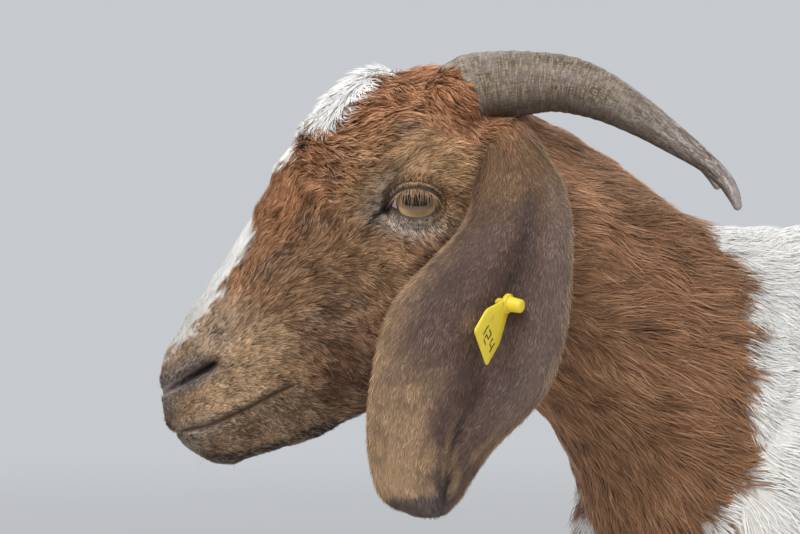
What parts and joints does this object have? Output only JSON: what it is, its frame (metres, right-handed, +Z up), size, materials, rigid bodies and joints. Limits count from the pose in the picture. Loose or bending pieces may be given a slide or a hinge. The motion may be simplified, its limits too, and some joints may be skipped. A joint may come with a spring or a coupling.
{
  "type": "boer goat",
  "caption": "Life-size standing goat with a brown head and neck, white body, long hanging ears, swept-back horns and an ear tag, head turned to its right.",
  "frame": {"origin": "on the ground under the middle of the animal's outer box", "axes": "+Z up, the goat faces -X along its body with its left side at -Y, and its head is turned 35 degrees towards +Y"},
  "size_m": [1.1478, 0.3348, 0.8229],
  "materials": {
    "coat_brown": "short chestnut hair, longer on the brow and neck",
    "coat_white": "short white hair",
    "coat_ear": "very short grey-brown hair on a thin ear",
    "bare_skin": "thinly haired pink skin",
    "horn": "ringed grey-brown horn",
    "hoof": "dark horn",
    "eye": "wet amber eye with a level slot pupil",
    "tag": "yellow flexible plastic"
  },
  "bodies": {
    "root": {"head": "coat_brown", "neck": "coat_brown", "trunk": "coat_white", "tail": "coat_white", "leg_front_left": "coat_white", "leg_front_right": "coat_white", "leg_hind_left": "coat_white", "leg_hind_right": "coat_white", "ear_left": "coat_ear", "ear_right": "coat_ear", "horn_left": "horn", "horn_right": "horn", "eye_left": "eye", "eye_right": "eye", "udder": "bare_skin", "tag_plate": "tag", "tag_button": "tag", "hoof_front_left_outer": "hoof", "hoof_front_left_inner": "hoof", "hoof_front_right_outer": "hoof", "hoof_front_right_inner": "hoof", "hoof_hind_left_outer": "hoof", "hoof_hind_left_inner": "hoof", "hoof_hind_right_outer": "hoof", "hoof_hind_right_inner": "hoof"}
  },
  "joints": []
}
